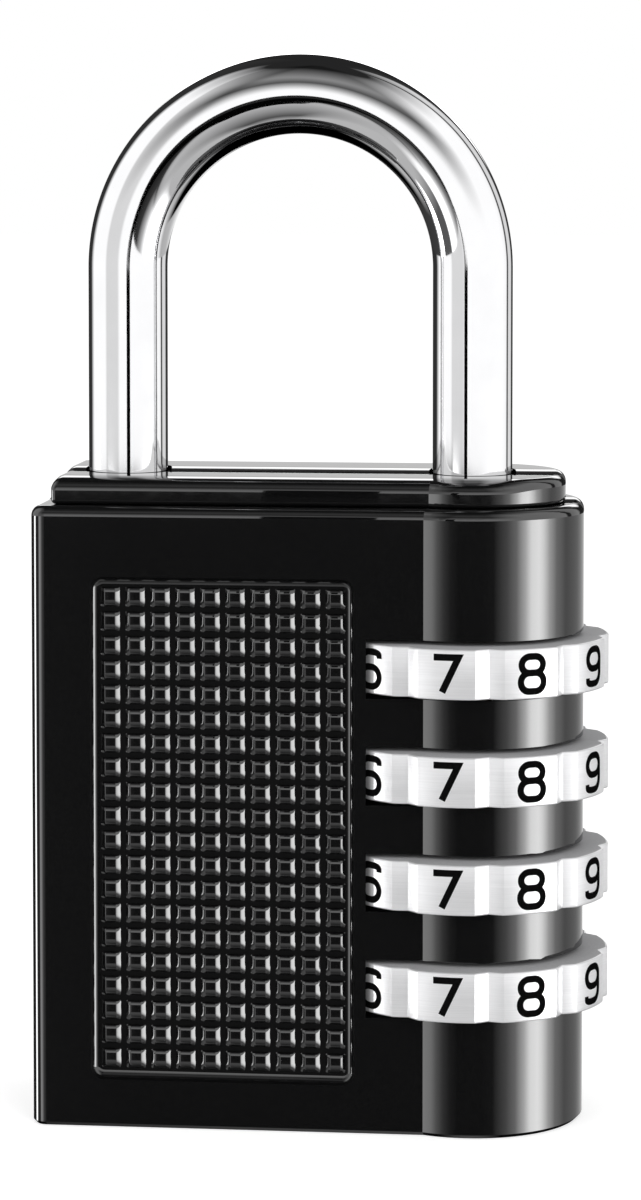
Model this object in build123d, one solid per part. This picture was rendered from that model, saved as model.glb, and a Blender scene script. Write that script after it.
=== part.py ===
from build123d import *
import math
import os

# Combination padlock. Millimetres, +Z up, front face towards -Y.
# The origin is where the spindle axis (dials, cam sleeves and long shackle leg) meets the base face.

# ---------------------------------------------------------------- driving dimensions
# Case: one casting, a flat-sided body that ends in a round barrel about the spindle axis
CASE_HEIGHT = 49.0
CASE_THICKNESS = 16.5
CASE_SIDE_MARGIN = 6.6       # toe leg's axis to the plain side
BARREL_RISE = 0.62           # the barrel stands this far beyond the flat faces
CASE_CORNER_RADIUS = 1.2     # upright edges of the plain side
CASE_CORNER_LEAST = 0.4      # smallest radius left when the plan is drawn in
CASE_TOP_RADIUS = 0.8        # rounding round the top face
CASE_BASE_CHAMFER = 0.3      # broken edge round the base
CASE_FLOOR = 1.4             # metal left under the spindle bore

# Grip panel: a shallow cast recess with a field of studs, on the front and on the back
PANEL_SIDE_MARGIN = 4.8      # plain side to the panel
PANEL_DIAL_MARGIN = 0.88     # panel to the mouths of the dial slots
PANEL_BASE_MARGIN = 3.8
PANEL_TOP_MARGIN = 5.5
PANEL_DEPTH = 0.55
PANEL_DRAFT = 30.0           # degrees that the recess walls lean outwards
PANEL_CORNER_RADIUS = 1.0
STUD_BORDER = 0.5            # least room between the studs and the panel's edge
STUD_PITCH_X = 1.97
STUD_PITCH_Z = 1.92
STUD_RISE = 0.4
STUD_GROOVE_WIDTH = 0.8      # mouth of the V grooves that part the studs

# Top cap: a smaller plate of the same plan, pinned on the case
CAP_HEIGHT = 2.2
CAP_INSET = 1.45
CAP_TOP_RADIUS = 0.8
CAP_BASE_RADIUS = 0.4
CAP_PIN_RADIUS = 1.0
CAP_PIN_LENGTH = 7.0
CAP_PIN_IN_CAP = 1.3
CAP_PIN_SPACING = 9.0

# Shackle: a bent round bar, long leg on the spindle axis, short toe leg in its own bore
SHACKLE_RADIUS = 3.175
SHACKLE_SPAN = 27.6          # between the leg axes
SHACKLE_STRAIGHT = 16.3      # straight leg that stands clear above the cap
TOE_DEPTH = 7.0              # toe leg below the top of the cap
SHACKLE_END_CHAMFER = 0.6
SPINDLE_END_GAP = 1.6        # case floor to the end of the long leg
CAP_HOLE_CLEARANCE = 0.3
TOE_BORE_CLEARANCE = 0.15
TOE_SEAT_GAP = 0.1

# Dials: four number rings on the spindle axis, ten flats with V grooves between them
DIAL_COUNT = 4
DIAL_PITCH = 8.35
DIAL_RISE = 2.0              # the dials stand this far beyond the barrel
DIAL_HEIGHT = 3.9
DIAL_POSITIONS = 10
DIAL_GROOVE_DEPTH = 0.55
DIAL_GROOVE_ANGLE = 12.0     # part of the rim that one groove takes
DIAL_GROOVE_OVERSIZE = 2.0   # the cutter's profile is this many times the groove's
DIAL_EDGE_CHAMFER = 0.15
CODE_ANGLE = -7.0            # the figure being read, from the front towards the right
SLOT_SIDE_GAP = 0.35         # dial face to slot wall
SLOT_RIM_GAP = 0.43          # dial rim to the round end of the slot

# Cam sleeves: one inside each dial; ten keys drive it, a keyway lets the locking pin through
SLEEVE_WALL = 0.8
SLEEVE_KEY_RISE = 0.6
SLEEVE_KEY_WIDTH = 1.6
SLEEVE_KEY_HEIGHT = 1.9
SPINDLE_CLEARANCE = 0.1
DIAL_RUNNING_GAP = 0.08
STACK_PLAY = 0.05            # end play between neighbouring sleeves

# Locking pins: pressed across the long leg, one under each cam sleeve
LOCK_PIN_RADIUS = 1.1
LOCK_PIN_RISE = 1.425        # long leg's surface to the pin's tip
LOCK_PIN_ROOT = -1.5         # blind end, beyond the spindle axis
LOCK_PIN_ANGLE = 180.0       # towards the toe leg
LOCK_PIN_GAP = 0.2           # pin to the cam sleeve above it
LOCK_PIN_TIP_GAP = 0.3       # pin's tip to the skirt of the cam sleeve
KEYWAY_CLEARANCE = 0.15

# Spindle bore of the case and what closes it
BORE_CLEARANCE = 0.1         # key tips to the bore
BUSH_FIT = 0.04
WASHER_THICKNESS = 0.8
WASHER_GAP = 0.2
SPRING_STRIP_WIDTH = 0.8     # radial width of the flat wire
SPRING_STRIP_THICKNESS = 0.4
SPRING_BORE_GAP = 0.7        # outer edge of the coil to the bore
SPRING_ROOM = 2.9            # case floor to the washer
SPRING_TURNS = 2.0
SPRING_SEAT_GAP = 0.03       # the helix's tilt lifts the strip's corners by about this

# Detent leaves: one bent strip behind each dial, its nose in a rim groove
LEAF_THICKNESS = 0.25
LEAF_HEIGHT = 3.2
LEAF_HALF_SPAN = 4.2
LEAF_FOOT = 0.9
LEAF_NOSE_GAP = 0.05
LEAF_NOSE_HALF_WIDTH = 0.9
LEAF_ROOM = 1.73             # dial rim to the seat of the leaf's feet
LEAF_SEAT_GAP = 0.05
LEAF_POCKET_GAP = 0.3
LEAF_POCKET_OVERLAP = 2.0    # the pocket starts this far inside the slot's round end

# ---------------------------------------------------------------- derived places
CASE_REACH = SHACKLE_SPAN + CASE_SIDE_MARGIN
HALF_THICKNESS = CASE_THICKNESS / 2
BARREL_RADIUS = HALF_THICKNESS + BARREL_RISE
DIAL_RADIUS = BARREL_RADIUS + DIAL_RISE
DIAL_STEP_ANGLE = 360 / DIAL_POSITIONS
SLOT_HEIGHT = DIAL_HEIGHT + 2 * SLOT_SIDE_GAP
SLOT_RADIUS = DIAL_RADIUS + SLOT_RIM_GAP
SLOT_MOUTH_X = -math.sqrt(SLOT_RADIUS**2 - HALF_THICKNESS**2)

PANEL_LEFT = PANEL_SIDE_MARGIN - CASE_REACH
PANEL_WIDTH = SLOT_MOUTH_X - PANEL_DIAL_MARGIN - PANEL_LEFT
PANEL_HEIGHT = CASE_HEIGHT - PANEL_BASE_MARGIN - PANEL_TOP_MARGIN
STUD_COLUMNS = int((PANEL_WIDTH - 2 * STUD_BORDER) / STUD_PITCH_X)
STUD_ROWS = int((PANEL_HEIGHT - 2 * STUD_BORDER) / STUD_PITCH_Z)

CAP_TOP = CASE_HEIGHT + CAP_HEIGHT
TOE_X = -SHACKLE_SPAN
TOE_END = CAP_TOP - TOE_DEPTH
ARCH_BASE = CAP_TOP + SHACKLE_STRAIGHT
SPINDLE_END = CASE_FLOOR + SPINDLE_END_GAP

LOCK_PIN_REACH = SHACKLE_RADIUS + LOCK_PIN_RISE
SLEEVE_BORE = SHACKLE_RADIUS + SPINDLE_CLEARANCE
SLEEVE_SKIRT_BORE = LOCK_PIN_REACH + LOCK_PIN_TIP_GAP
SLEEVE_RADIUS = SLEEVE_SKIRT_BORE + SLEEVE_WALL
SLEEVE_KEY_TIP = SLEEVE_RADIUS + SLEEVE_KEY_RISE
BORE_RADIUS = SLEEVE_KEY_TIP + BORE_CLEARANCE
SPRING_COIL_RADIUS = BORE_RADIUS - SPRING_BORE_GAP - SPRING_STRIP_WIDTH / 2

WASHER_BASE = CASE_FLOOR + SPRING_ROOM
WASHER_TOP = WASHER_BASE + WASHER_THICKNESS
SLEEVE_HEIGHT = DIAL_PITCH - STACK_PLAY
LOWEST_DIAL = WASHER_TOP + STACK_PLAY + SLEEVE_HEIGHT - DIAL_HEIGHT / 2
DIAL_LEVELS = [LOWEST_DIAL + DIAL_PITCH * (DIAL_COUNT - 1 - i) for i in range(DIAL_COUNT)]
PIN_ROOM = SLEEVE_HEIGHT - DIAL_HEIGHT
BUSH_BASE = DIAL_LEVELS[0] + DIAL_HEIGHT / 2 + STACK_PLAY
# The middle of a flat faces CODE_ANGLE, so a groove lies a quarter turn round, on the toe side
DETENT_ANGLE = 180 + CODE_ANGLE


def upright_cylinder(radius, bottom, top):
    """A solid cylinder on the spindle axis between two heights."""
    return Pos(0, 0, bottom) * extrude(Circle(radius), top - bottom)


def plan(inset):
    """Plan of the case, drawn in by inset: a flat-sided body that ends in a round barrel."""
    corner = max(CASE_CORNER_RADIUS - inset, CASE_CORNER_LEAST)
    left = inset - CASE_REACH
    half = HALF_THICKNESS - inset
    body = Pos(left / 2, 0) * Rectangle(-left, 2 * half)
    body = fillet(body.vertices().group_by(Axis.X)[0], corner)
    return body + Circle(BARREL_RADIUS - inset)


# ---------------------------------------------------------------- case
def panel_plane(side, depth):
    """The plane of one grip panel, this far under the flat face, looking outwards."""
    return Plane(
        origin=(
            PANEL_LEFT + PANEL_WIDTH / 2,
            side * (HALF_THICKNESS - depth),
            PANEL_BASE_MARGIN + PANEL_HEIGHT / 2,
        ),
        x_dir=(-side, 0, 0),
        z_dir=(0, side, 0),
    )


def grip_panel_cut(side):
    """The tapered recess of one grip panel, as the solid to take away."""
    outline = panel_plane(side, 0) * RectangleRounded(PANEL_WIDTH, PANEL_HEIGHT, PANEL_CORNER_RADIUS)
    return extrude(outline, -PANEL_DEPTH, taper=PANEL_DRAFT)


def grip_studs():
    """A field of studs on the plane Z = 0: a plate parted by crossed V grooves."""
    width = STUD_COLUMNS * STUD_PITCH_X
    height = STUD_ROWS * STUD_PITCH_Z
    half = STUD_GROOVE_WIDTH / 2
    slope = math.degrees(math.atan(half / STUD_RISE))
    field = extrude(Rectangle(width, height), STUD_RISE, taper=slope)
    groove = Polygon((0, 0), (half, STUD_RISE), (-half, STUD_RISE), align=None)
    upright = extrude(Plane.XZ * groove, height / 2, both=True)
    level = extrude(Plane.YZ * groove, width / 2, both=True)
    cuts = [place * upright for place in GridLocations(STUD_PITCH_X, 0, STUD_COLUMNS - 1, 1)]
    cuts += [place * level for place in GridLocations(0, STUD_PITCH_Z, 1, STUD_ROWS - 1)]
    return field - cuts


def leaf_pocket(level):
    """The pocket behind one dial slot that holds the detent leaf."""
    inner = SLOT_RADIUS - LEAF_POCKET_OVERLAP
    outer = DIAL_RADIUS + LEAF_ROOM + LEAF_SEAT_GAP
    width = 2 * (LEAF_HALF_SPAN + LEAF_POCKET_GAP)
    pocket = Pos((inner + outer) / 2, 0, level) * Box(outer - inner, width, SLOT_HEIGHT)
    return Rot(0, 0, DETENT_ANGLE) * pocket


def cap_pin_places():
    """Centres of the two cap pins, midway between the legs of the shackle."""
    return [(TOE_X / 2 - CAP_PIN_SPACING / 2, 0), (TOE_X / 2 + CAP_PIN_SPACING / 2, 0)]


def make_case():
    body = extrude(plan(0), CASE_HEIGHT)
    body = fillet(body.edges().group_by(Axis.Z)[-1], CASE_TOP_RADIUS)
    body = chamfer(body.edges().group_by(Axis.Z)[0], CASE_BASE_CHAMFER)
    cuts = [upright_cylinder(BORE_RADIUS, CASE_FLOOR, CASE_HEIGHT)]
    for level in DIAL_LEVELS:
        cuts.append(upright_cylinder(SLOT_RADIUS, level - SLOT_HEIGHT / 2, level + SLOT_HEIGHT / 2))
        cuts.append(leaf_pocket(level))
    toe_bore = upright_cylinder(
        SHACKLE_RADIUS + TOE_BORE_CLEARANCE, TOE_END - TOE_SEAT_GAP, CASE_HEIGHT
    )
    cuts.append(Pos(TOE_X, 0, 0) * toe_bore)
    for x, y in cap_pin_places():
        bottom = CASE_HEIGHT + CAP_PIN_IN_CAP - CAP_PIN_LENGTH
        cuts.append(Pos(x, y, 0) * upright_cylinder(CAP_PIN_RADIUS, bottom, CASE_HEIGHT))
    cuts += [grip_panel_cut(side) for side in (-1, 1)]
    studs = grip_studs()
    return body - cuts + [panel_plane(side, PANEL_DEPTH).location * studs for side in (-1, 1)]


# ---------------------------------------------------------------- top cap and its pins
def make_top_cap():
    cap = Pos(0, 0, CASE_HEIGHT) * extrude(plan(CAP_INSET), CAP_HEIGHT)
    cap = fillet(cap.edges().group_by(Axis.Z)[-1], CAP_TOP_RADIUS)
    cap = fillet(cap.edges().group_by(Axis.Z)[0], CAP_BASE_RADIUS)
    hole = upright_cylinder(SHACKLE_RADIUS + CAP_HOLE_CLEARANCE, CASE_HEIGHT, CAP_TOP)
    cap -= hole
    cap -= Pos(TOE_X, 0, 0) * hole
    for x, y in cap_pin_places():
        pin_hole = upright_cylinder(CAP_PIN_RADIUS, CASE_HEIGHT, CASE_HEIGHT + CAP_PIN_IN_CAP)
        cap -= Pos(x, y, 0) * pin_hole
    return cap


def make_cap_pins():
    top = CASE_HEIGHT + CAP_PIN_IN_CAP
    pin = upright_cylinder(CAP_PIN_RADIUS, top - CAP_PIN_LENGTH, top)
    return Compound([Pos(x, y, 0) * pin for x, y in cap_pin_places()])


# ---------------------------------------------------------------- shackle and locking pins
def lock_pin(level):
    """The pin that waits under the cam sleeve of the dial at this level."""
    height = level - DIAL_HEIGHT / 2 - LOCK_PIN_GAP - LOCK_PIN_RADIUS
    start = Plane(origin=(LOCK_PIN_ROOT, 0, height), x_dir=(0, 1, 0), z_dir=(1, 0, 0))
    pin = extrude(start * Circle(LOCK_PIN_RADIUS), LOCK_PIN_REACH - LOCK_PIN_ROOT)
    return Rot(0, 0, LOCK_PIN_ANGLE) * pin


def is_bar_end(edge):
    """Whether a circular edge lies round one of the two end faces of the shackle."""
    height = edge.center().Z
    return abs(height - SPINDLE_END) < 0.001 or abs(height - TOE_END) < 0.001


def make_shackle():
    arch_radius = SHACKLE_SPAN / 2
    long_leg = Line((0, 0, SPINDLE_END), (0, 0, ARCH_BASE))
    arch = ThreePointArc(
        (0, 0, ARCH_BASE), (-arch_radius, 0, ARCH_BASE + arch_radius), (TOE_X, 0, ARCH_BASE)
    )
    toe_leg = Line((TOE_X, 0, ARCH_BASE), (TOE_X, 0, TOE_END))
    start = Plane(origin=(0, 0, SPINDLE_END), z_dir=(0, 0, 1))
    bar = sweep(start * Circle(SHACKLE_RADIUS), path=Wire([long_leg, arch, toe_leg]))
    ends = [edge for edge in bar.edges().filter_by(GeomType.CIRCLE) if is_bar_end(edge)]
    bar = chamfer(ends, SHACKLE_END_CHAMFER)
    for level in DIAL_LEVELS:
        bar -= lock_pin(level)
    return bar


def make_locking_pins():
    return Compound([lock_pin(level) for level in DIAL_LEVELS])


# ---------------------------------------------------------------- dials and cam sleeves
def rim_groove():
    """One V groove of a dial's rim, at angle 0, as a prism of the dial's height."""
    half = DIAL_RADIUS * math.sin(math.radians(DIAL_GROOVE_ANGLE / 2))
    apex = DIAL_RADIUS - DIAL_GROOVE_DEPTH
    mouth = DIAL_RADIUS * math.cos(math.radians(DIAL_GROOVE_ANGLE / 2))
    reach = apex + DIAL_GROOVE_OVERSIZE * (mouth - apex)
    spread = DIAL_GROOVE_OVERSIZE * half
    profile = Polygon((apex, 0), (reach, -spread), (reach, spread), align=None)
    return extrude(profile, DIAL_HEIGHT, dir=(0, 0, 1))


def sleeve_keys(width, tip, height):
    """Ten radial bars from the spindle axis out to tip, standing on Z = 0."""
    bar = Pos(tip / 2, 0, height / 2) * Box(tip, width, height)
    return [Rot(0, 0, DETENT_ANGLE + i * DIAL_STEP_ANGLE) * bar for i in range(DIAL_POSITIONS)]


def make_dial(level):
    ring = extrude(Circle(DIAL_RADIUS), DIAL_HEIGHT)
    ring = chamfer(ring.edges(), DIAL_EDGE_CHAMFER)
    for i in range(DIAL_POSITIONS):
        ring -= Rot(0, 0, DETENT_ANGLE + i * DIAL_STEP_ANGLE) * rim_groove()
    ring -= upright_cylinder(SLEEVE_RADIUS + DIAL_RUNNING_GAP, 0, DIAL_HEIGHT)
    width = SLEEVE_KEY_WIDTH + 2 * DIAL_RUNNING_GAP
    ring -= sleeve_keys(width, SLEEVE_KEY_TIP + DIAL_RUNNING_GAP, DIAL_HEIGHT)
    return Pos(0, 0, level - DIAL_HEIGHT / 2) * ring


def make_cam_sleeve(level):
    top = level + DIAL_HEIGHT / 2
    web = level - DIAL_HEIGHT / 2
    bottom = top - SLEEVE_HEIGHT
    sleeve = upright_cylinder(SLEEVE_RADIUS, bottom, top)
    keys = sleeve_keys(SLEEVE_KEY_WIDTH, SLEEVE_KEY_TIP, SLEEVE_KEY_HEIGHT)
    sleeve += [Pos(0, 0, top - SLEEVE_KEY_HEIGHT) * key for key in keys]
    sleeve -= upright_cylinder(SLEEVE_BORE, bottom, top)
    sleeve -= upright_cylinder(SLEEVE_SKIRT_BORE, bottom, web)
    reach = LOCK_PIN_REACH + KEYWAY_CLEARANCE
    keyway = Pos(reach / 2, 0, level) * Box(
        reach, 2 * (LOCK_PIN_RADIUS + KEYWAY_CLEARANCE), DIAL_HEIGHT
    )
    return sleeve - Rot(0, 0, LOCK_PIN_ANGLE) * keyway


# ---------------------------------------------------------------- inside the spindle bore
def make_shackle_bush():
    """Closes the bore over the sleeves, guides the long leg and stops the topmost pin."""
    bush = upright_cylinder(BORE_RADIUS - BUSH_FIT, BUSH_BASE, CASE_HEIGHT)
    bush -= upright_cylinder(SLEEVE_BORE, BUSH_BASE, CASE_HEIGHT)
    return bush - upright_cylinder(SLEEVE_SKIRT_BORE, BUSH_BASE, BUSH_BASE + PIN_ROOM)


def make_stack_washer():
    washer = upright_cylinder(BORE_RADIUS - WASHER_GAP, WASHER_BASE, WASHER_TOP)
    return washer - upright_cylinder(SHACKLE_RADIUS + WASHER_GAP, WASHER_BASE, WASHER_TOP)


def make_reset_spring():
    """A short coil of flat wire between the floor of the bore and the washer."""
    bottom = CASE_FLOOR + SPRING_STRIP_THICKNESS / 2 + SPRING_SEAT_GAP
    rise = WASHER_BASE - SPRING_STRIP_THICKNESS / 2 - SPRING_SEAT_GAP - bottom
    coil = Helix(pitch=rise / SPRING_TURNS, height=rise, radius=SPRING_COIL_RADIUS)
    start = Plane(origin=coil @ 0, x_dir=(1, 0, 0), z_dir=coil % 0)
    strip = start * Rectangle(SPRING_STRIP_WIDTH, SPRING_STRIP_THICKNESS)
    return Pos(0, 0, bottom) * sweep(strip, path=coil, is_frenet=True)


# ---------------------------------------------------------------- detent leaves
def make_detent_leaf(level):
    """A strip bent to a nose, with both feet on the back wall of its pocket."""
    nose = DIAL_RADIUS - DIAL_GROOVE_DEPTH + LEAF_NOSE_GAP
    back = DIAL_RADIUS + LEAF_ROOM - LEAF_THICKNESS
    shoulder = LEAF_HALF_SPAN - LEAF_FOOT
    rest = DIAL_RADIUS + LEAF_POCKET_GAP
    half = [
        (nose, 0),
        (rest, LEAF_NOSE_HALF_WIDTH),
        (back, shoulder),
        (back, LEAF_HALF_SPAN),
    ]
    front = [(x, -y) for x, y in reversed(half[1:])] + half
    spine = [(x + LEAF_THICKNESS, y) for x, y in front]
    profile = Polygon(*front, *reversed(spine), align=None)
    leaf = Pos(0, 0, level - LEAF_HEIGHT / 2) * extrude(profile, LEAF_HEIGHT, dir=(0, 0, 1))
    return Rot(0, 0, DETENT_ANGLE) * leaf


# ---------------------------------------------------------------- build and write
def main():
    pieces = {
        "case": make_case(),
        "top_cap": make_top_cap(),
        "cap_pins": make_cap_pins(),
        "shackle": make_shackle(),
        "locking_pins": make_locking_pins(),
        "shackle_bush": make_shackle_bush(),
        "stack_washer": make_stack_washer(),
        "reset_spring": make_reset_spring(),
    }
    for number, level in enumerate(DIAL_LEVELS, start=1):
        pieces[f"dial_{number}"] = make_dial(level)
        pieces[f"cam_sleeve_{number}"] = make_cam_sleeve(level)
        pieces[f"detent_leaf_{number}"] = make_detent_leaf(level)
    os.makedirs("parts", exist_ok=True)
    for name, shape in pieces.items():
        export_step(shape, f"parts/{name}.step")


main()
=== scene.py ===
import math

import bmesh
import bpy
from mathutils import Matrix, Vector


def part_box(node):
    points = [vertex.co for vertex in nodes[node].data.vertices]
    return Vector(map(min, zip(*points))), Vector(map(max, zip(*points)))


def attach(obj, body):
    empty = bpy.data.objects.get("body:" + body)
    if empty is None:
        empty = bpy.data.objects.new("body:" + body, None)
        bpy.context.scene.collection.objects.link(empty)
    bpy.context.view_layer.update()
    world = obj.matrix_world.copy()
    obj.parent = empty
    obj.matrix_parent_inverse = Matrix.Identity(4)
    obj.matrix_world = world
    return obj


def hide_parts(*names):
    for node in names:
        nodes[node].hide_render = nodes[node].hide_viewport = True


# The looks of the combination padlock. Metres, in the part's own frame: +Z up, front face
# towards -Y, spindle axis (dials and long shackle leg) on X = Y = 0.

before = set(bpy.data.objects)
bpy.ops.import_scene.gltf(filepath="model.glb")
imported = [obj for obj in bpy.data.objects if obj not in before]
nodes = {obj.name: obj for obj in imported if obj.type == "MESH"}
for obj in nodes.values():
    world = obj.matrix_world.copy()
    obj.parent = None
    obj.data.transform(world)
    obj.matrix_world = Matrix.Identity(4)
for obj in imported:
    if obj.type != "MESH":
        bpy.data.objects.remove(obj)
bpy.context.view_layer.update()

# ---------------------------------------------------------------- sizes read from the frame
case_low, case_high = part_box("case")
cap_low, cap_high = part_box("top_cap")
bar_low, bar_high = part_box("shackle")
BAR_RADIUS = bar_high.y
BAR_SPAN = bar_high.x - bar_low.x - 2 * BAR_RADIUS
ARCH_BASE = bar_high.z - BAR_RADIUS - BAR_SPAN / 2

# ---------------------------------------------------------------- sizes of the parts' details
DIALS = ["dial_1", "dial_2", "dial_3", "dial_4"]
TOE_DEPTH = 0.0070           # toe end of the bar below the top of the cap
BAR_END_CHAMFER = 0.0006
HALF_THICKNESS = 0.00825     # spindle axis to the flat faces of the case
CASE_TOP_RADIUS = 0.0008
CASE_TOP_MARGIN = 0.0001     # the reshaped top starts this far below its rounded edge
PANEL_DEPTH = 0.00055
PANEL_LEFT, PANEL_RIGHT = -0.0294, -0.0086
PANEL_LOW, PANEL_HIGH = 0.0038, 0.0435
PANEL_CORNER = 0.0010
PANEL_DRAFT = math.radians(30)
PANEL_EDGE = 0.00025         # top of the recess walls, left untouched round the grip panel
COVE_RADIUS = 0.0006         # rounding between the recess floor and its walls
STUD_COLUMNS, STUD_ROWS = 10, 20
STUD_PITCH_X, STUD_PITCH_Z = 0.00197, 0.00192
STUD_HALF = 0.00078
CODE_ANGLE = math.radians(-7)
STEP_ANGLE = math.radians(36)
GROOVE_HALF_ANGLE = math.radians(6)
GROOVE_DEPTH = 0.00055
DIAL_BORE = 0.00578
DIAL_KEY_TIP = 0.00638
DIAL_KEY_HALF_ANGLE = math.radians(8.3)
DIAL_EDGE = 0.00015
INK_LIFT = 0.00001
FIGURE_WIDTH, FIGURE_HEIGHT = 0.00194, 0.00270   # between the middles of the strokes
FIGURE_STROKE = 0.00053

# The body is parted along Y = 0: its rear half stands a little proud at the top, behind a low
# step, and both halves fall slightly towards the front. Each pair is a depth Y and the slope
# there in degrees, rising towards the rear.
PARTING_SLOPES = [(0, 62), (0.00005, 62), (0.00008, 40), (0.00010, 10.5), (0.0015, 0)]
CROWN_SLOPES = [(-0.0068, 10.5), (-0.0060, 10.5), (-0.0045, 0), (-0.000001, 0)]
JUST_IN_FRONT = -1e-9        # depth at which the reshaped top keeps its height

# Stations of a stud, in half widths from its middle: across it from foot to foot, and upwards
STUD_FLANK = [0.46, 0.50, 0.55, 0.62, 0.72, 0.82, 0.92, 1]
STUD_ACROSS = [-place for place in reversed(STUD_FLANK)] + STUD_FLANK
STUD_ALONG = [-1, -0.94, -0.86, -0.76, -0.64, -0.5, -0.34, -0.1, 0.5, 0.86, 0.89, 0.92, 1]
STUD_SLOPES = [(0.46, 0), (0.55, 35), (1, 41.5)]   # degrees, from the flat top to the foot
STUD_CREST, STUD_BROW = -0.1, 0.88                 # a stud has its full height between these
STUD_FALL_POWER = 2.4                              # how softly it falls below the crest

# ---------------------------------------------------------------- fineness and tolerances
BAR_SIDES, ARCH_STEPS = 96, 120
DIAL_SIDES, DIAL_EDGE_STEPS = 720, 4
CORNER_STEPS = 8
SLOPE_STEPS = 24             # pieces in which a stud's flank is summed up
FACET_SLACK = 0.00002        # how far a CAD facet may lie off its true face
RIM_SLACK = 0.00001          # takes in the points on the rim of the recess walls
STUD_SINK = 0.00001          # feet of the studs below the recess floor
FLOOR_GAP = 0.00002          # stage floor below the base of the case
SAME_POINT = 1e-7
LEVEL_FACE = 0.999           # least upward share of a level face's normal
MITRE_LIMIT = 0.35           # most narrowing that a mitre makes up for, so that bends stay short
CORNER_HOLD = 0.5576         # share of the way to its corner that a rounding's handles reach
NOISE_SPAN = (0.3, 0.7)      # where nearly all values of a noise lie
KEPT = "kept_normal"


# ---------------------------------------------------------------- number helpers
def blend(value, start, end):
    """0 up to the start, 1 from the end on."""
    return min(max((value - start) / (end - start), 0), 1)


def mix(first, second, share):
    """The first at a share of 0, the second at 1."""
    return first * (1 - share) + second * share


def profile(table, place):
    """A value read from (place, value) pairs, with straight runs between them."""
    for (start, low), (end, high) in zip(table, table[1:]):
        if place <= end:
            return low + (high - low) * blend(place, start, end)
    return table[-1][1]


def bezier(start, hold_in, hold_out, end, share):
    """The point at a share of the way along a curve with two handles."""
    first = start.lerp(hold_in, share)
    middle = hold_in.lerp(hold_out, share)
    last = hold_out.lerp(end, share)
    return first.lerp(middle, share).lerp(middle.lerp(last, share), share)


# ---------------------------------------------------------------- mesh helpers
def add_loop(bm, points):
    return [bm.verts.new(p) for p in points]


def add_ring(bm, radii, angles, z):
    """A level loop about the spindle axis, with a radius of its own at each angle."""
    return add_loop(bm, [(r * math.cos(a), r * math.sin(a), z) for r, a in zip(radii, angles)])


def bridge(bm, first, second):
    """Quads between two closed loops of the same length."""
    count = len(first)
    for i in range(count):
        j = (i + 1) % count
        bm.faces.new((first[i], first[j], second[j], second[i]))


def to_mesh(bm, name):
    bm.normal_update()
    mesh = bpy.data.meshes.new(name)
    bm.to_mesh(mesh)
    bm.free()
    return mesh


def add_piece(name, mesh, material, body, sharp_angle=None):
    """A new piece of the object that rides on a body and takes a finish."""
    mesh.materials.append(material)
    mesh.shade_smooth()
    if sharp_angle is not None:
        mesh.set_sharp_from_angle(angle=sharp_angle)
    piece = bpy.data.objects.new(name, mesh)
    bpy.context.scene.collection.objects.link(piece)
    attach(piece, body)
    return piece


# ---------------------------------------------------------------- material helpers
def new_material(name, metallic=0):
    material = bpy.data.materials.new(name)
    material.use_nodes = True
    shader = material.node_tree.nodes["Principled BSDF"]
    shader.inputs["Metallic"].default_value = metallic
    return material, shader


def noise(material, stretch, detail):
    """A noise in the piece's own metres; stretch is its cycles per metre along X, Y and Z."""
    tree = material.node_tree
    place = tree.nodes.new("ShaderNodeTexCoord")
    mapping = tree.nodes.new("ShaderNodeMapping")
    mapping.inputs["Scale"].default_value = stretch
    texture = tree.nodes.new("ShaderNodeTexNoise")
    texture.inputs["Scale"].default_value = 1.0
    texture.inputs["Detail"].default_value = detail
    tree.links.new(place.outputs["Object"], mapping.inputs["Vector"])
    tree.links.new(mapping.outputs["Vector"], texture.inputs["Vector"])
    return texture.outputs["Fac"]


def vary_roughness(material, shader, source, low, high):
    tree = material.node_tree
    spread = tree.nodes.new("ShaderNodeMapRange")
    spread.inputs["From Min"].default_value = NOISE_SPAN[0]
    spread.inputs["From Max"].default_value = NOISE_SPAN[1]
    spread.inputs["To Min"].default_value = low
    spread.inputs["To Max"].default_value = high
    tree.links.new(source, spread.inputs["Value"])
    tree.links.new(spread.outputs["Result"], shader.inputs["Roughness"])


def vary_colour(material, shader, source, first, second):
    tree = material.node_tree
    ramp = tree.nodes.new("ShaderNodeValToRGB")
    for element, place, colour in zip(ramp.color_ramp.elements, NOISE_SPAN, (first, second)):
        element.position = place
        element.color = (*colour, 1)
    tree.links.new(source, ramp.inputs["Fac"])
    tree.links.new(ramp.outputs["Color"], shader.inputs["Base Color"])


def add_bump(material, shader, source, height, strength):
    tree = material.node_tree
    bump = tree.nodes.new("ShaderNodeBump")
    bump.inputs["Strength"].default_value = strength
    bump.inputs["Distance"].default_value = height
    tree.links.new(source, bump.inputs["Height"])
    tree.links.new(bump.outputs["Normal"], shader.inputs["Normal"])


# ---------------------------------------------------------------- materials
def make_black_enamel():
    material, shader = new_material("black_enamel_gloss")
    shader.inputs["IOR"].default_value = 1.9
    peel = noise(material, (900, 900, 900), detail=2)
    flecks = noise(material, (5000, 5000, 5000), detail=3)
    vary_colour(material, shader, flecks, (0.0030, 0.0030, 0.0032), (0.0055, 0.0055, 0.0056))
    vary_roughness(material, shader, peel, 0.025, 0.04)
    add_bump(material, shader, peel, height=0.000003, strength=0.3)
    return material


def make_matt_enamel_painted_shade():
    """The enamel of the recess floors and walls round the studs: matt, and darker than the gloss
    enamel, which is painted shade.
    """
    material, shader = new_material("black_enamel_matt_painted_shade")
    shader.inputs["Specular IOR Level"].default_value = 0.12
    grain = noise(material, (3000, 3000, 3000), detail=3)
    # Darker colour than the gloss enamel: painted shade in the recesses.
    vary_colour(material, shader, grain, (0.0012, 0.0012, 0.0013), (0.0025, 0.0025, 0.0026))
    vary_roughness(material, shader, grain, 0.50, 0.65)
    add_bump(material, shader, grain, height=0.000004, strength=0.5)
    return material


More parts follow.
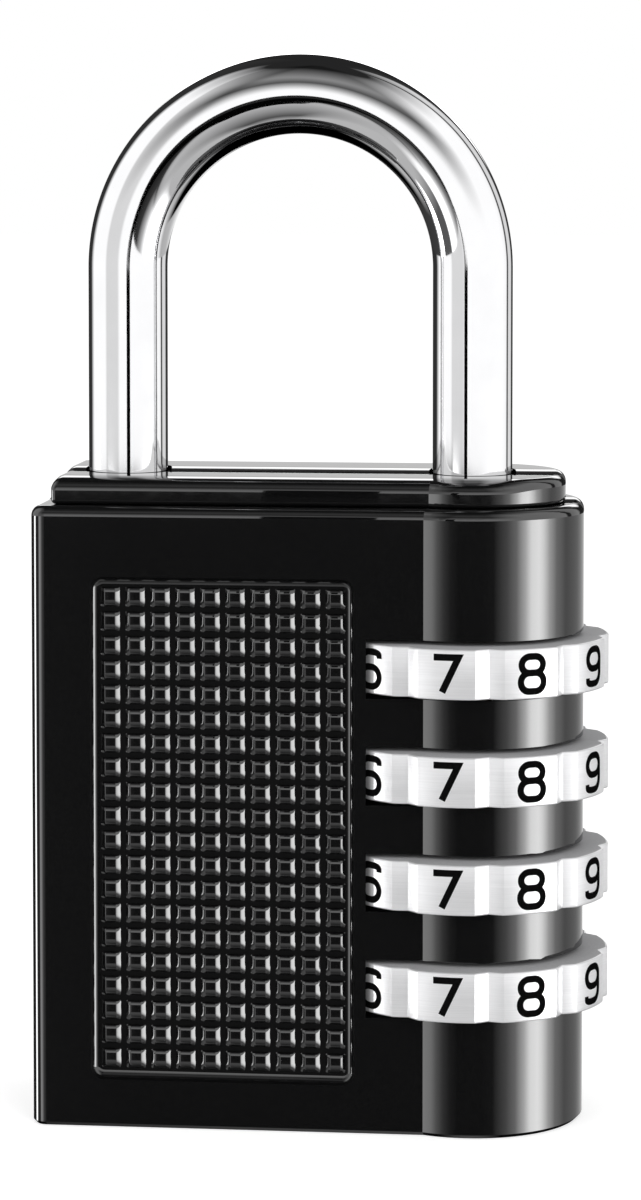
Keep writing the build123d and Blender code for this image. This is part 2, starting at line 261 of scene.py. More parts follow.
def make_polished_chrome():
    material, shader = new_material("polished_chrome_bar", metallic=1)
    haze = noise(material, (300, 300, 300), detail=5)
    lines = noise(material, (9000, 9000, 400), detail=2)
    vary_colour(material, shader, haze, (0.88, 0.88, 0.89), (0.92, 0.92, 0.93))
    vary_roughness(material, shader, haze, 0.03, 0.06)
    add_bump(material, shader, lines, height=0.0000004, strength=0.4)
    return material


def make_satin_chrome():
    material, shader = new_material("satin_chrome_rings", metallic=0.5)
    turned = noise(material, (250, 250, 16000), detail=3)
    vary_colour(material, shader, turned, (0.83, 0.83, 0.84), (0.90, 0.90, 0.91))
    vary_roughness(material, shader, turned, 0.29, 0.37)
    add_bump(material, shader, turned, height=0.000001, strength=0.4)
    return material


def make_dial_faces_painted_shade():
    """The flat faces of the dials, dull, in a darker grey than the rims, which is painted shade."""
    material, shader = new_material("dial_faces_painted_shade")
    shader.inputs["Specular IOR Level"].default_value = 0.1
    grain = noise(material, (6000, 6000, 6000), detail=3)
    vary_colour(material, shader, grain, (0.43, 0.43, 0.44), (0.50, 0.50, 0.51))
    vary_roughness(material, shader, grain, 0.55, 0.70)
    add_bump(material, shader, grain, height=0.000002, strength=0.4)
    return material


def make_brass_painted_shade():
    material, shader = new_material("oiled_dark_brass", metallic=1)
    turned = noise(material, (400, 400, 9000), detail=3)
    # Brass with a darkened colour: painted shade on the cam sleeves, seen only through the slot
    # gaps.
    vary_colour(material, shader, turned, (0.10, 0.075, 0.04), (0.15, 0.11, 0.06))
    vary_roughness(material, shader, turned, 0.40, 0.55)
    add_bump(material, shader, turned, height=0.000002, strength=0.5)
    return material


def make_spring_steel():
    material, shader = new_material("drawn_spring_steel", metallic=1)
    grain = noise(material, (2500, 2500, 2500), detail=4)
    vary_colour(material, shader, grain, (0.50, 0.51, 0.52), (0.62, 0.63, 0.64))
    vary_roughness(material, shader, grain, 0.24, 0.38)
    add_bump(material, shader, grain, height=0.000002, strength=0.5)
    return material


def make_ink():
    material, shader = new_material("filled_black_ink")
    shader.inputs["Specular IOR Level"].default_value = 0
    grain = noise(material, (9000, 9000, 9000), detail=3)
    vary_colour(material, shader, grain, (0.002, 0.002, 0.002), (0.006, 0.006, 0.006))
    vary_roughness(material, shader, grain, 0.45, 0.60)
    add_bump(material, shader, grain, height=0.000002, strength=0.4)
    return material


# ---------------------------------------------------------------- grip panels
def in_grip_panel(point, inset):
    """Whether a point of the case lies in either recess, drawn in by the inset."""
    return (
        PANEL_LEFT + inset < point.x < PANEL_RIGHT - inset
        and PANEL_LOW + inset < point.z < PANEL_HIGH - inset
        and abs(point.y) > HALF_THICKNESS - PANEL_DEPTH - FACET_SLACK
    )


def recess_outline(inset, y):
    """The recess's rounded outline, drawn in, in the plane y."""
    radius = PANEL_CORNER - inset
    left, right = PANEL_LEFT + PANEL_CORNER, PANEL_RIGHT - PANEL_CORNER
    low, high = PANEL_LOW + PANEL_CORNER, PANEL_HIGH - PANEL_CORNER
    points = []
    for turn, x, z in ((180, left, low), (270, right, low), (0, right, high), (90, left, high)):
        for k in range(CORNER_STEPS + 1):
            angle = math.radians(turn + 90 * k / CORNER_STEPS)
            points.append((x + radius * math.cos(angle), y, z + radius * math.sin(angle)))
    return points


def make_recess(side, name, floor_material_painted_shade, cove_material):
    """The matt floor of a recess and the glossy rounding from it up into the walls."""
    wall_lean = math.pi / 2 - PANEL_DRAFT
    foot = PANEL_DEPTH * math.tan(PANEL_DRAFT) + COVE_RADIUS * math.tan(wall_lean / 2)
    depth = HALF_THICKNESS - PANEL_DEPTH
    bm = bmesh.new()
    loops = []
    for k in range(CORNER_STEPS + 1):
        lean = wall_lean * (1 - k / CORNER_STEPS)
        y = side * (depth + COVE_RADIUS * (1 - math.cos(lean)))
        loops.append(add_loop(bm, recess_outline(foot - COVE_RADIUS * math.sin(lean), y)))
    for outer, inner in zip(loops, loops[1:]):
        bridge(bm, *((outer, inner) if side < 0 else (inner, outer)))
    add_piece(name + "_cove", to_mesh(bm, name + "_cove"), cove_material, "case")
    # The recess floor takes the matt enamel, whose darker colour is painted shade between the studs.
    bm = bmesh.new()
    floor = add_loop(bm, recess_outline(foot, side * depth))
    bm.faces.new(floor if side < 0 else floor[::-1])
    add_piece(name + "_floor", to_mesh(bm, name + "_floor"), floor_material_painted_shade, "case")


def stud_rises():
    """Height of a stud over the recess floor at each station across it, from its slopes."""
    rises = []
    for station in STUD_ACROSS:
        run = (1 - abs(station)) / SLOPE_STEPS
        slopes = [profile(STUD_SLOPES, 1 - run * (k + 0.5)) for k in range(SLOPE_STEPS)]
        rises.append(run * STUD_HALF * sum(math.tan(math.radians(slope)) for slope in slopes))
    return rises


def stud_fall(place):
    """Share of its height that a stud has along Z: it ends softly below and quickly above."""
    if place < STUD_CREST:
        return 1 - ((STUD_CREST - place) / (STUD_CREST + 1)) ** STUD_FALL_POWER
    return 1 - blend(place, STUD_BROW, 1)


def add_stud(bm, side, x, z, rises):
    foot = HALF_THICKNESS - PANEL_DEPTH - STUD_SINK
    rows = []
    for along in STUD_ALONG:
        fall = stud_fall(along)
        row = [
            (x + across * STUD_HALF, side * (foot + rise * fall), z + along * STUD_HALF)
            for across, rise in zip(STUD_ACROSS, rises)
        ]
        rows.append(add_loop(bm, row))
    for lower, upper in zip(rows, rows[1:]):
        for k in range(len(lower) - 1):
            corners = (lower[k], lower[k + 1], upper[k + 1], upper[k])
            bm.faces.new(corners if side < 0 else corners[::-1])


def make_studs(side, name, material):
    bm = bmesh.new()
    rises = stud_rises()
    middle_x = (PANEL_LEFT + PANEL_RIGHT) / 2
    middle_z = (PANEL_LOW + PANEL_HIGH) / 2
    for column in range(STUD_COLUMNS):
        for row in range(STUD_ROWS):
            x = middle_x + (column - (STUD_COLUMNS - 1) / 2) * STUD_PITCH_X
            z = middle_z + (row - (STUD_ROWS - 1) / 2) * STUD_PITCH_Z
            add_stud(bm, side, x, z, rises)
    add_piece(name, to_mesh(bm, name), material, "case")


# ---------------------------------------------------------------- case and cap
def top_shift(slopes, y):
    """How far the slopes raise the top of the body at a depth, and its slope just behind."""
    shift = 0
    for (start, low), (end, high) in zip(slopes, slopes[1:]):
        if y > start:
            reach = min(y, end)
            here = mix(low, high, (reach - start) / (end - start))
            shift += (reach - start) * math.tan(math.radians((low + here) / 2))
    if y < slopes[0][0] or y >= slopes[-1][0]:
        return shift, 0
    return shift, math.tan(math.radians(profile(slopes, y)))


def shape_top(bm, normal, foot, slopes):
    """Above the foot, give the top of the body the slopes of its two halves."""
    for depth, _ in slopes:
        faces = [f for f in bm.faces if any(v.co.z > foot for v in f.verts)]
        geometry = set(faces)
        for face in faces:
            geometry.update(face.edges)
            geometry.update(face.verts)
        bmesh.ops.bisect_plane(
            bm, geom=list(geometry), plane_co=(0, depth, 0), plane_no=(0, 1, 0), dist=SAME_POINT
        )
    for face in bm.faces:
        if face.calc_center_median().y > slopes[0][0]:
            for loop in face.loops:
                if loop.vert.co.z > foot:
                    tilted = loop[normal].copy()
                    tilted.y -= tilted.z * top_shift(slopes, loop.vert.co.y)[1]
                    loop[normal] = tilted
    unmoved, _ = top_shift(slopes, JUST_IN_FRONT)
    for vert in bm.verts:
        if vert.co.z > foot:
            vert.co.z += top_shift(slopes, vert.co.y)[0] - unmoved


def start_copy(node):
    """A CAD node's mesh to work on, with the normals of its curved faces kept beside it."""
    mesh = nodes[node].data.copy()
    mesh.materials.clear()
    kept = mesh.attributes.new(KEPT, "FLOAT_VECTOR", "CORNER")
    for value, corner in zip(kept.data, mesh.corner_normals):
        value.vector = corner.vector
    bm = bmesh.new()
    bm.from_mesh(mesh)
    return mesh, bm, bm.loops.layers.float_vector[KEPT]


def finish_copy(mesh, bm, name, material, node):
    """The worked mesh as a piece in the node's place, with the kept normals as its own."""
    bm.to_mesh(mesh)
    bm.free()
    piece = add_piece(name, mesh, material, "case")
    normals = [value.vector.normalized() for value in mesh.attributes[KEPT].data]
    mesh.normals_split_custom_set(normals)
    mesh.attributes.remove(mesh.attributes[KEPT])
    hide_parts(node)


def make_case(material, wall_material_painted_shade):
    """The case's own skin, without the plain floors and studs of its recesses."""
    mesh, bm, normal = start_copy("case")
    plain = [f for f in bm.faces if all(in_grip_panel(v.co, PANEL_EDGE) for v in f.verts)]
    bmesh.ops.delete(bm, geom=plain, context="FACES")
    # Faces of the recess walls take the matt enamel, whose darker colour is painted shade.
    for face in bm.faces:
        face.material_index = int(all(in_grip_panel(v.co, -RIM_SLACK) for v in face.verts))
    shape_top(bm, normal, case_high.z - CASE_TOP_RADIUS - CASE_TOP_MARGIN, PARTING_SLOPES)
    finish_copy(mesh, bm, "case_casting", material, "case")
    mesh.materials.append(wall_material_painted_shade)


def make_cap(material):
    mesh, bm, normal = start_copy("top_cap")
    shape_top(bm, normal, (cap_low.z + cap_high.z) / 2, CROWN_SLOPES + PARTING_SLOPES)
    finish_copy(mesh, bm, "cap_casting", material, "top_cap")


# ---------------------------------------------------------------- shackle
def bar_sections():
    """Centre, outward direction and radius of the bar's sections, from its long leg's foot on."""
    right, left = Vector((1, 0, 0)), Vector((-1, 0, 0))
    toe_end = cap_high.z - TOE_DEPTH
    tip_radius = BAR_RADIUS - BAR_END_CHAMFER
    sections = [
        (Vector((0, 0, bar_low.z)), right, tip_radius),
        (Vector((0, 0, bar_low.z + BAR_END_CHAMFER)), right, BAR_RADIUS),
    ]
    for i in range(ARCH_STEPS + 1):
        angle = math.pi * i / ARCH_STEPS
        out = Vector((math.cos(angle), 0, math.sin(angle)))
        centre = Vector((-BAR_SPAN / 2, 0, ARCH_BASE)) + out * BAR_SPAN / 2
        sections.append((centre, out, BAR_RADIUS))
    sections.append((Vector((-BAR_SPAN, 0, toe_end + BAR_END_CHAMFER)), left, BAR_RADIUS))
    sections.append((Vector((-BAR_SPAN, 0, toe_end)), left, tip_radius))
    return sections


def make_shackle(material):
    angles = [2 * math.pi * k / BAR_SIDES for k in range(BAR_SIDES)]
    depth = Vector((0, 1, 0))
    bm = bmesh.new()
    loops = []
    for centre, out, radius in bar_sections():
        points = [centre + radius * (math.cos(a) * out + math.sin(a) * depth) for a in angles]
        loops.append(add_loop(bm, points))
    for lower, upper in zip(loops, loops[1:]):
        bridge(bm, lower, upper)
    bm.faces.new(loops[0][::-1])
    bm.faces.new(loops[-1])
    mesh = to_mesh(bm, "shackle_bar")
    piece = add_piece(
        "shackle_bar", mesh, material, "shackle", sharp_angle=math.radians(30)
    )
    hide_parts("shackle")


# ---------------------------------------------------------------- dials and their figures
def figure_angle(figure):
    """Where a figure stands on its dial, with 7 on the code line; the front is at -90 degrees."""
    return -math.pi / 2 + CODE_ANGLE + (figure - 7) * STEP_ANGLE


def from_groove(angle):
    """The angle to the nearest of the ten grooves, which lie half-way between the figures."""
    turn = (angle - figure_angle(7)) / STEP_ANGLE + 0.5
    return abs(turn - round(turn)) * STEP_ANGLE


def dial_outline(radius, angle):
    """Rim radius at an angle: arcs that carry the figures, with a V groove between neighbours."""
    return radius - GROOVE_DEPTH * max(1 - from_groove(angle) / GROOVE_HALF_ANGLE, 0)


def dial_bore(angle):
    """Bore radius at an angle: ten keyways between the lands that ride on the cam sleeve."""
    return DIAL_KEY_TIP if from_groove(angle) < DIAL_KEY_HALF_ANGLE else DIAL_BORE


def make_dial(name, material, face_material_painted_shade):
    low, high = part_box(name)
    edge = []
    for k in range(DIAL_EDGE_STEPS + 1):
        turn = math.pi / 2 * k / DIAL_EDGE_STEPS
        edge.append((DIAL_EDGE * (1 - math.sin(turn)), low.z + DIAL_EDGE * (1 - math.cos(turn))))
    rim = edge + [(inset, low.z + high.z - z) for inset, z in reversed(edge)]
    angles = [figure_angle(7) + 2 * math.pi * k / DIAL_SIDES for k in range(DIAL_SIDES)]
    outline = [dial_outline(high.y - 2 * INK_LIFT, a) for a in angles]
    bore = [dial_bore(a) for a in angles]
    bm = bmesh.new()
    loops = [add_ring(bm, bore, angles, low.z)]
    loops += [add_ring(bm, [r - inset for r in outline], angles, z) for inset, z in rim]
    loops.append(add_ring(bm, bore, angles, high.z))
    for lower, upper in zip(loops, loops[1:] + loops[:1]):
        bridge(bm, lower, upper)
    piece_name = name + "_ring"
    mesh = to_mesh(bm, piece_name)
    # Level faces take the darker grey face material: painted shade on the dials' flat faces.
    for polygon in mesh.polygons:
        polygon.material_index = int(abs(polygon.normal.z) > LEVEL_FACE)
    piece = add_piece(
        piece_name, mesh, material, name, sharp_angle=math.radians(24)
    )
    mesh.materials.append(face_material_painted_shade)
    weighted = piece.modifiers.new("weighted_normals", "WEIGHTED_NORMAL")
    weighted.keep_sharp = True
    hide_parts(name)


# Strokes of the figures: whether the stroke is closed, and the corners of its middle line as
# (x, z, corner radius). x is in figure widths, z in figure heights and the radius in widths.
FIGURES = {
    0: [(True, [(0, 0, 0.45), (1, 0, 0.45), (1, 1, 0.45), (0, 1, 0.45)])],
    1: [(False, [(0.15, 0.74, 0), (0.62, 1, 0), (0.62, 0, 0)])],
    2: [(False, [(0, 0.76, 0), (0, 1, 0.4), (1, 1, 0.4), (1, 0.56, 0.3), (0, 0, 0), (1, 0, 0)])],
    3: [
        (False, [(0, 0.80, 0), (0, 1, 0.35), (1, 1, 0.4), (1, 0.53, 0.35), (0.35, 0.53, 0)]),
        (False, [(0.35, 0.53, 0), (1, 0.53, 0.35), (1, 0, 0.4), (0, 0, 0.35), (0, 0.20, 0)]),
    ],
    4: [(False, [(0.74, 0, 0), (0.74, 1, 0), (0, 0.28, 0), (1.05, 0.28, 0)])],
    5: [
        (False, [(0.92, 1, 0), (0.08, 1, 0), (0.05, 0.58, 0)]),
        (False, [(0.05, 0.60, 0), (1, 0.60, 0.4), (1, 0, 0.4), (0, 0, 0.35), (0, 0.18, 0)]),
    ],
    6: [
        (True, [(0, 0, 0.4), (1, 0, 0.4), (1, 0.56, 0.4), (0, 0.56, 0.4)]),
        (False, [(0, 0.30, 0), (0, 1, 0.42), (1, 1, 0.35), (1, 0.82, 0)]),
    ],
    7: [(False, [(0, 1, 0), (1, 1, 0), (0.34, 0, 0)])],
    8: [
        (True, [(0.03, 0.53, 0.33), (0.97, 0.53, 0.33), (0.97, 1, 0.36), (0.03, 1, 0.36)]),
        (True, [(0, 0, 0.36), (1, 0, 0.36), (1, 0.53, 0.36), (0, 0.53, 0.36)]),
    ],
    9: [
        (True, [(0, 0.44, 0.4), (1, 0.44, 0.4), (1, 1, 0.4), (0, 1, 0.4)]),
        (False, [(1, 0.70, 0), (1, 0, 0.42), (0, 0, 0.35), (0, 0.18, 0)]),
    ],
}


def rounded_stroke(corners):
    """The middle line of a stroke, its corners rounded, in metres about the figure's centre."""
    size = Vector((FIGURE_WIDTH, FIGURE_HEIGHT))
    places = [Vector(((x - 0.5) * size.x, (z - 0.5) * size.y)) for x, z, _ in corners]
    points = []
    for i, (_, _, radius) in enumerate(corners):
        here = places[i]
        if radius == 0:
            points.append(here)
            continue
        before, after = places[i - 1] - here, places[(i + 1) % len(places)] - here
        start = here + before.normalized() * min(radius * size.x, before.length / 2)
        end = here + after.normalized() * min(radius * size.x, after.length / 2)
        hold_in, hold_out = start.lerp(here, CORNER_HOLD), end.lerp(here, CORNER_HOLD)
        for k in range(CORNER_STEPS + 1):
            points.append(bezier(start, hold_in, hold_out, end, k / CORNER_STEPS))
    return points


def subdivide(points, closed, longest):
    """The same line with no run longer than this, so that it can follow a round rim."""
    runs = list(zip(points, points[1:] + points[:1] if closed else points[1:]))
    fine = []
    for start, end in runs:
        length = (end - start).length
        if length > SAME_POINT:
            pieces = math.ceil(length / longest)
            fine += [start.lerp(end, k / pieces) for k in range(pieces)]
    if not closed:
        fine.append(points[-1])
    return fine


def stroke_edges(points, closed):
    """The two edges of a ribbon along a line, as pairs of points, mitred at its bends."""
    last = len(points) - 1
    edges = []
    for i, here in enumerate(points):
        along = []
        if closed or i > 0:
            along.append((here - points[i - 1]).normalized())
        if closed or i < last:
            along.append((points[0 if i == last else i + 1] - here).normalized())
        mean = sum(along, Vector((0, 0))).normalized()
        normal = Vector((-mean.y, mean.x))
        narrowing = abs(normal.dot(Vector((-along[0].y, along[0].x))))
        mitre = FIGURE_STROKE / 2 / max(MITRE_LIMIT, narrowing)
        edges.append((here + normal * mitre, here - normal * mitre))
    return edges


def add_stroke(bm, corners, closed, radius, turn, level):
    """A flat ribbon along one stroke, wrapped on the rim of a dial."""
    points = subdivide(rounded_stroke(corners), closed, FIGURE_STROKE)
    rails = []
    for pair in stroke_edges(points, closed):
        angles = [turn + p.x / radius for p in pair]
        places = [
            (radius * math.cos(angle), radius * math.sin(angle), level + p.y)
            for angle, p in zip(angles, pair)
        ]
        rails.append(add_loop(bm, places))
    ends = rails[1:] + rails[:1] if closed else rails[1:]
    for (a, b), (c, d) in zip(rails, ends):
        bm.faces.new((b, d, c, a))


def make_figures(name, material):
    low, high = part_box(name)
    radius = high.y - INK_LIFT
    level = (low.z + high.z) / 2
    bm = bmesh.new()
    for figure, strokes in FIGURES.items():
        for closed, corners in strokes:
            add_stroke(bm, corners, closed, radius, figure_angle(figure), level)
    piece_name = name + "_figures"
    add_piece(piece_name, to_mesh(bm, piece_name), material, name)


# ---------------------------------------------------------------- studio
# A light tent that only glossy surfaces see, given by its level at an azimuth and an elevation
# in degrees. Azimuth 0 is in front of the padlock and grows towards its dials. The camera looks
# down a little, so the case mirrors the lower wall and the bar the upper one.
LOWER_WALL = [
    (-180, 0.03),
    (-99, 0.05),
    (-97, 10.0),
    (-84, 10.0),
    (-81, 0.1),
    (-56, 0.1),
    (-52, 1.9),
    (-46, 2.0),
    (-39, 1.6),
    (-32, 0.7),
    (-25, 0.25),
    (-18, 0.08),
    (-10, 0.02),
    (14, 0.02),
    (26, 0.04),
    (40, 0.5),
    (50, 1.2),
    (60, 3.6),
    (67, 6.5),
    (76, 7.0),
    (81, 6.0),
    (90, 2.8),
    (100, 1.1),
    (115, 0.45),
    (140, 0.5),
    (180, 1.0),
]
UPPER_WALL = [
    (-180, 0.8),
    (-166, 0.8),
    (-161, 0.03),
    (-124, 0.03),
    (-108, 1.1),
    (-62, 1.1),
    (-56, 0.75),
    (-23, 0.75),
    (-17, 1.1),
    (100, 1.1),
    (117, 1.0),
    (119, 0.05),
    (125, 0.05),
    (127, 0.75),
    (145, 0.75),
    (150, 0.03),
    (172, 0.03),
    (176, 0.8),
    (180, 0.8),
]
WALL_SEAM = (-4.45, -4.30)       # elevations between which the lower wall gives way to the upper
FLOOR_LEVEL, NADIR_LEVEL, CEILING_LEVEL = 0.5, 0.9, 0.02
REAR_LIGHT = 3.2                 # strip over the rear wall, mirrored by the rounded top edges

# By elevation, in front of the padlock: the level below the wall, and the share of the upper
# wall's level above it
FRONT_BELOW = [(-90, 0.7), (-80, 0.45), (-66, 0.08), (-45, 0.3), (-25, 0.5), (-22, 0.4), (-20, 0.05)]
FRONT_ABOVE = [(11, 1.0), (24, 0.4), (33, 0.08), (47, 0.25), (62, 0.12), (78, 0.01)]

# Degrees over which one part of the tent gives way to the next
WALL_TO_FLOOR = (18, 32)         # below the horizon
FLOOR_TO_NADIR = (70, 84)        # below the horizon, behind the padlock
WALL_TO_CEILING = (50, 75)
LOWER_FRONT_MIDDLE = 5
LOWER_FRONT_TO_SIDES = (25, 45)  # off the middle of the lower front
UPPER_FRONT_TO_SIDES = (25, 60)
SIDES_TO_LOWER_REAR = (115, 130)
SIDES_TO_UPPER_REAR = (158, 162)
REAR_LIGHT_FOOT = (13, 16)
REAR_LIGHT_TOP = (22, 25)
REAR_CEILING = (24, 27)

DOME_RADIUS = 1.2
DOME_AZIMUTH_STEP = 2
DOME_ELEVATIONS = [
    *range(-87, -24, 3),
    *(-25, -22, -20, -18, -15),
    *range(-12, -5, 3),
    *WALL_SEAM,
    *range(-3, 88, 3),
]
CARD_X, CARD_Y, CARD_WIDTH = -0.0174, -0.0639, 0.011
CARD_LOW, CARD_HIGH = 0.0445, 0.066

PADLOCK_MIDDLE = Vector((-0.013, 0, 0.04))
WHITE_LEVEL = 1.0                # the world where it is looked at directly
WORLD_LIGHT = 0.6                # the world where it lights surfaces
FLOOR_SIZE = 8
FLOOR_GLOW = 0.55                # added to the lit floor where it is looked at directly
LAMPS = {                        # place, edge length and watts
    "key": ((0.6, -0.9, 0.35), 0.6, 5),
    "fill": ((-0.8, -0.7, 0.30), 0.8, 4),
}
CAMERA_PLACE = (0.0177, -0.2824, 0.0750)
CAMERA_PITCH, CAMERA_HEADING = math.radians(-3), math.radians(6.03)
CAMERA_SENSOR, CAMERA_LENS = 36, 107.1
CAMERA_SHIFT = -0.2
CAMERA_CLIP = 0.01


def lower_level(azimuth, elevation):
    """Level below the seam: the wall, and under it the front's own bands, the floor and the rear."""
    wall = profile(LOWER_WALL, azimuth)
    if elevation > FRONT_BELOW[-1][0]:
        return wall
    behind = blend(abs(azimuth), *SIDES_TO_LOWER_REAR)
    sides = mix(wall, FLOOR_LEVEL, blend(-elevation, *WALL_TO_FLOOR)) * (1 - behind)
    sides = mix(sides, NADIR_LEVEL, behind * blend(-elevation, *FLOOR_TO_NADIR))
    aside = blend(abs(azimuth - LOWER_FRONT_MIDDLE), *LOWER_FRONT_TO_SIDES)
    return mix(profile(FRONT_BELOW, elevation), sides, aside)


def upper_level(azimuth, elevation):
    """Level above the seam: the wall fades to the ceiling, with a bright strip at the rear."""
    wall = profile(UPPER_WALL, azimuth)
    front = wall * profile(FRONT_ABOVE, elevation)
    sides = mix(wall, CEILING_LEVEL, blend(elevation, *WALL_TO_CEILING))
    level = mix(front, sides, blend(abs(azimuth), *UPPER_FRONT_TO_SIDES))
    behind = blend(abs(azimuth), *SIDES_TO_UPPER_REAR)
    level = mix(level, CEILING_LEVEL, behind * blend(elevation, *REAR_CEILING))
    strip = blend(elevation, *REAR_LIGHT_FOOT) * (1 - blend(elevation, *REAR_LIGHT_TOP))
    return mix(level, REAR_LIGHT, behind * strip)


def studio_level(azimuth, elevation):
    upper = blend(elevation, *WALL_SEAM)
    return mix(lower_level(azimuth, elevation), upper_level(azimuth, elevation), upper)


def add_for_gloss(name, bm, material):
    """A stage object that glossy surfaces alone see."""
    mesh = to_mesh(bm, name)
    mesh.materials.append(material)
    screen = bpy.data.objects.new(name, mesh)
    bpy.context.scene.collection.objects.link(screen)
    screen.visible_camera = False
    screen.visible_diffuse = False
    screen.visible_transmission = False
    screen.visible_shadow = False


def make_tent_glow():
    """Light of the level that each point of the tent holds."""
    material = bpy.data.materials.new("studio_dome")
    material.use_nodes = True
    tree = material.node_tree
    tree.nodes.remove(tree.nodes["Principled BSDF"])
    level = tree.nodes.new("ShaderNodeAttribute")
    level.attribute_name = "level"
    glow = tree.nodes.new("ShaderNodeEmission")
    tree.links.new(level.outputs["Fac"], glow.inputs["Strength"])
    tree.links.new(glow.outputs["Emission"], tree.nodes["Material Output"].inputs["Surface"])
    return material


def make_studio_dome():
    bm = bmesh.new()
    level = bm.verts.layers.float.new("level")
    loops = []
    for elevation in DOME_ELEVATIONS:
        loop = []
        for azimuth in range(-180, 180, DOME_AZIMUTH_STEP):
            a, e = math.radians(azimuth), math.radians(elevation)
            out = Vector((math.sin(a) * math.cos(e), -math.cos(a) * math.cos(e), math.sin(e)))
            vert = bm.verts.new(PADLOCK_MIDDLE + DOME_RADIUS * out)
            vert[level] = studio_level(azimuth, elevation)
            loop.append(vert)
        loops.append(loop)
    for lower, upper in zip(loops, loops[1:]):
        bridge(bm, upper, lower)
    bm.faces.new(loops[-1])
    bm.faces.new(loops[0][::-1])
    add_for_gloss("studio_dome", bm, make_tent_glow())


def make_dark_card():
    """A narrow black card before the padlock: the thin dark line along the middle of both legs."""
    material, shader = new_material("dark_card")
    shader.inputs["Base Color"].default_value = (0.002, 0.002, 0.002, 1)
    shader.inputs["Specular IOR Level"].default_value = 0
    left, right = CARD_X - CARD_WIDTH / 2, CARD_X + CARD_WIDTH / 2
    corners = ((left, CARD_LOW), (left, CARD_HIGH), (right, CARD_HIGH), (right, CARD_LOW))
    bm = bmesh.new()
    bm.faces.new(add_loop(bm, [(x, CARD_Y, z) for x, z in corners]))
    add_for_gloss("dark_card", bm, material)


def is_direct_look(tree):
    """1 for camera, glossy and transmission rays, and 0 for the rays that light surfaces."""
    path = tree.nodes.new("ShaderNodeLightPath")
    total = path.outputs["Is Camera Ray"]
    for kind in ("Is Glossy Ray", "Is Transmission Ray"):
        larger = tree.nodes.new("ShaderNodeMath")
        larger.operation = "MAXIMUM"
        tree.links.new(total, larger.inputs[0])
        tree.links.new(path.outputs[kind], larger.inputs[1])
        total = larger.outputs["Value"]
    return total


def make_world():
    world = bpy.data.worlds.new("studio")
    bpy.context.scene.world = world
    world.use_nodes = True
    tree = world.node_tree
    lit = tree.nodes["Background"]
    lit.inputs["Color"].default_value = (1, 1, 1, 1)
    lit.inputs["Strength"].default_value = WORLD_LIGHT
    white = tree.nodes.new("ShaderNodeBackground")
    white.inputs["Color"].default_value = (1, 1, 1, 1)
    white.inputs["Strength"].default_value = WHITE_LEVEL
    pick = tree.nodes.new("ShaderNodeMixShader")
    tree.links.new(is_direct_look(tree), pick.inputs["Fac"])
    tree.links.new(lit.outputs["Background"], pick.inputs[1])
    tree.links.new(white.outputs["Background"], pick.inputs[2])
    tree.links.new(pick.outputs["Shader"], tree.nodes["World Output"].inputs["Surface"])


def make_floor():
    material, shader = new_material("pale_floor")
    shader.inputs["Base Color"].default_value = (0.85, 0.85, 0.85, 1)
    shader.inputs["Roughness"].default_value = 0.9
    shader.inputs["Specular IOR Level"].default_value = 0.0
    tree = material.node_tree
    glow = tree.nodes.new("ShaderNodeEmission")
    glow.inputs["Strength"].default_value = FLOOR_GLOW
    off = tree.nodes.new("ShaderNodeEmission")
    off.inputs["Strength"].default_value = 0.0
    pick = tree.nodes.new("ShaderNodeMixShader")
    total = tree.nodes.new("ShaderNodeAddShader")
    tree.links.new(is_direct_look(tree), pick.inputs["Fac"])
    tree.links.new(off.outputs["Emission"], pick.inputs[1])
    tree.links.new(glow.outputs["Emission"], pick.inputs[2])
    tree.links.new(shader.outputs["BSDF"], total.inputs[0])
    tree.links.new(pick.outputs["Shader"], total.inputs[1])
    tree.links.new(total.outputs["Shader"], tree.nodes["Material Output"].inputs["Surface"])
    bpy.ops.mesh.primitive_plane_add(size=FLOOR_SIZE, location=(0, 0, case_low.z - FLOOR_GAP))
    floor = bpy.context.active_object
    floor.name = "floor"
    floor.data.materials.append(material)
    floor.visible_glossy = False


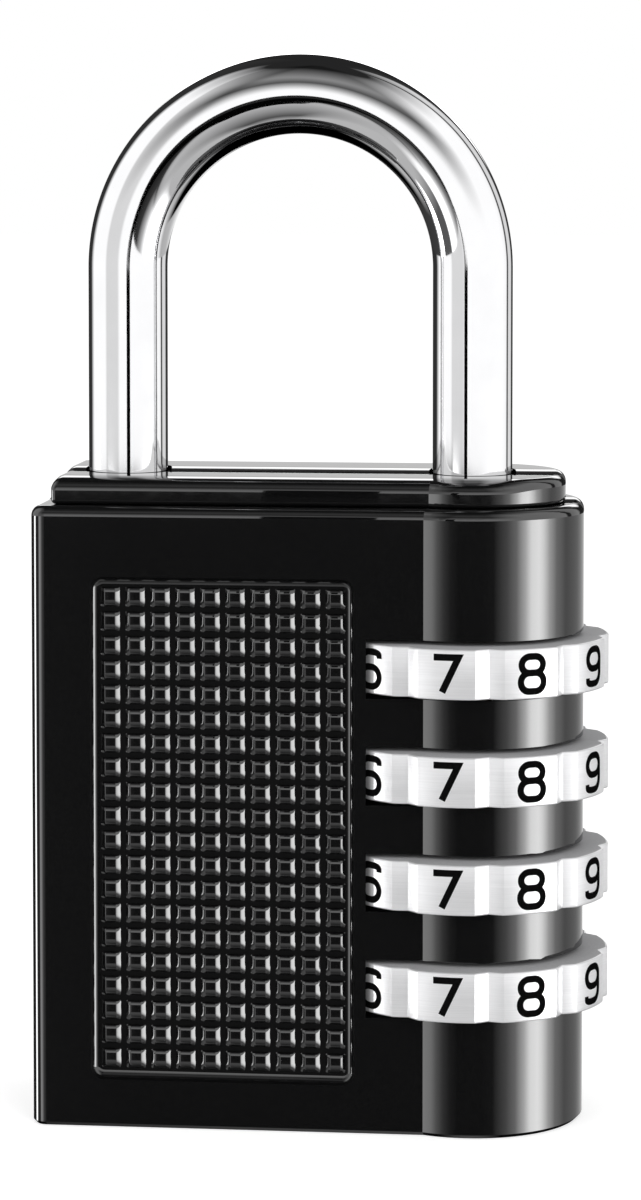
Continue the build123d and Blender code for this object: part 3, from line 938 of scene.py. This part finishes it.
def make_lamp(name, place, size, power):
    light = bpy.data.lights.new(name, "AREA")
    light.shape = "SQUARE"
    light.size = size
    light.energy = power
    lamp = bpy.data.objects.new(name, light)
    lamp.location = place
    aim = PADLOCK_MIDDLE - Vector(place)
    lamp.rotation_euler = aim.to_track_quat("-Z", "Y").to_euler()
    lamp.visible_camera = False
    lamp.visible_glossy = False
    bpy.context.scene.collection.objects.link(lamp)


def make_camera():
    data = bpy.data.cameras.new("camera")
    data.sensor_width = CAMERA_SENSOR
    data.lens = CAMERA_LENS
    data.shift_y = CAMERA_SHIFT
    data.clip_start = CAMERA_CLIP
    camera = bpy.data.objects.new("camera", data)
    camera.location = CAMERA_PLACE
    camera.rotation_euler = (math.pi / 2 + CAMERA_PITCH, 0, CAMERA_HEADING)
    bpy.context.scene.collection.objects.link(camera)
    bpy.context.scene.camera = camera


# ---------------------------------------------------------------- put together
enamel = make_black_enamel()
matt_enamel_painted_shade = make_matt_enamel_painted_shade()
chrome = make_polished_chrome()
satin = make_satin_chrome()
painted_shade_faces = make_dial_faces_painted_shade()
ink = make_ink()

FINISHES = {
    "black_enamel": enamel,
    "polished_chrome": chrome,
    "satin_chrome": satin,
    "brass": make_brass_painted_shade(),
    "spring_steel": make_spring_steel(),
}
for node in nodes.values():
    for holder in node.material_slots:
        for slot_name, finish in FINISHES.items():
            if holder.material.name.startswith(slot_name):
                holder.material = finish
                break

make_case(enamel, matt_enamel_painted_shade)
make_cap(enamel)
for side, place in ((-1, "front"), (1, "back")):
    make_recess(side, "recess_" + place, matt_enamel_painted_shade, enamel)
    make_studs(side, "grip_studs_" + place, enamel)
make_shackle(chrome)
for dial in DIALS:
    make_dial(dial, satin, painted_shade_faces)
    make_figures(dial, ink)

make_world()
make_floor()
make_studio_dome()
make_dark_card()
for lamp_name, (lamp_place, lamp_size, lamp_power) in LAMPS.items():
    make_lamp(lamp_name, lamp_place, lamp_size, lamp_power)
make_camera()
bpy.context.scene.view_settings.view_transform = "Standard"
